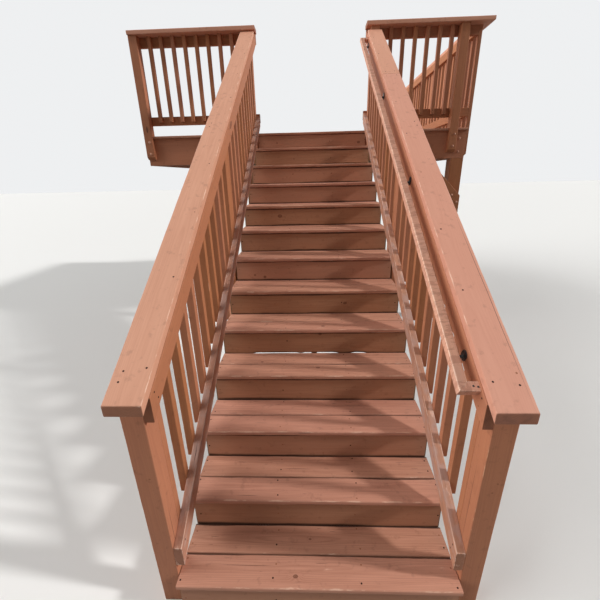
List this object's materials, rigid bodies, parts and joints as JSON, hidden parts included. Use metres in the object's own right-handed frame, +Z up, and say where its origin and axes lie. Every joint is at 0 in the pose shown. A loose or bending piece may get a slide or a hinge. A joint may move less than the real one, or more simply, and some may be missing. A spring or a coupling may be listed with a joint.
{
  "type": "wooden deck stairs",
  "caption": "Straight timber flight with closed risers, guards and a handrail, rising to a raised deck with balustrades.",
  "frame": {"origin": "on the ground, below the middle of the whole stair and deck", "axes": "+X to the right of a person climbing, +Y up the flight, +Z up"},
  "size_m": [3.751, 6.324, 3.291],
  "materials": {
    "stained_wood": "semi-transparent red-brown stain, weathered",
    "worn_wood": "red-brown stain, worn and flaking",
    "raw_wood": "unstained, weathered",
    "black_metal": "black, semi-gloss"
  },
  "bodies": {
    "root": {"stringer_left": "raw_wood", "stringer_centre": "raw_wood", "stringer_right": "raw_wood", "tread_01": "stained_wood", "tread_02": "stained_wood", "tread_03": "stained_wood", "tread_04": "stained_wood", "tread_05": "stained_wood", "tread_06": "stained_wood", "tread_07": "stained_wood", "tread_08": "stained_wood", "tread_09": "stained_wood", "tread_10": "stained_wood", "tread_11": "stained_wood", "tread_12": "stained_wood", "risers": "stained_wood", "newel_post_left": "stained_wood", "newel_post_right": "stained_wood", "mid_post_left": "stained_wood", "mid_post_right": "stained_wood", "top_post_left": "stained_wood", "top_post_right": "stained_wood", "top_rail_left": "stained_wood", "top_rail_right": "stained_wood", "bottom_rail_left": "worn_wood", "bottom_rail_right": "worn_wood", "cap_left": "stained_wood", "cap_right": "stained_wood", "stair_balusters_left": "stained_wood", "stair_balusters_right": "stained_wood", "handrail": "worn_wood", "handrail_returns": "worn_wood", "handrail_brackets": "black_metal", "rim_front": "stained_wood", "rim_back": "stained_wood", "rim_left": "stained_wood", "rim_right": "stained_wood", "joists": "raw_wood", "decking": "worn_wood", "support_posts_front": "stained_wood", "support_posts_back": "stained_wood", "deck_post_left": "stained_wood", "deck_post_right": "stained_wood", "side_posts": "stained_wood", "deck_rails_left": "stained_wood", "deck_rails_right": "stained_wood", "side_rails": "stained_wood", "deck_cap_left": "stained_wood", "deck_cap_right": "stained_wood", "side_cap": "stained_wood", "deck_balusters_left": "stained_wood", "deck_balusters_right": "stained_wood", "side_balusters": "stained_wood"}
  },
  "joints": []
}
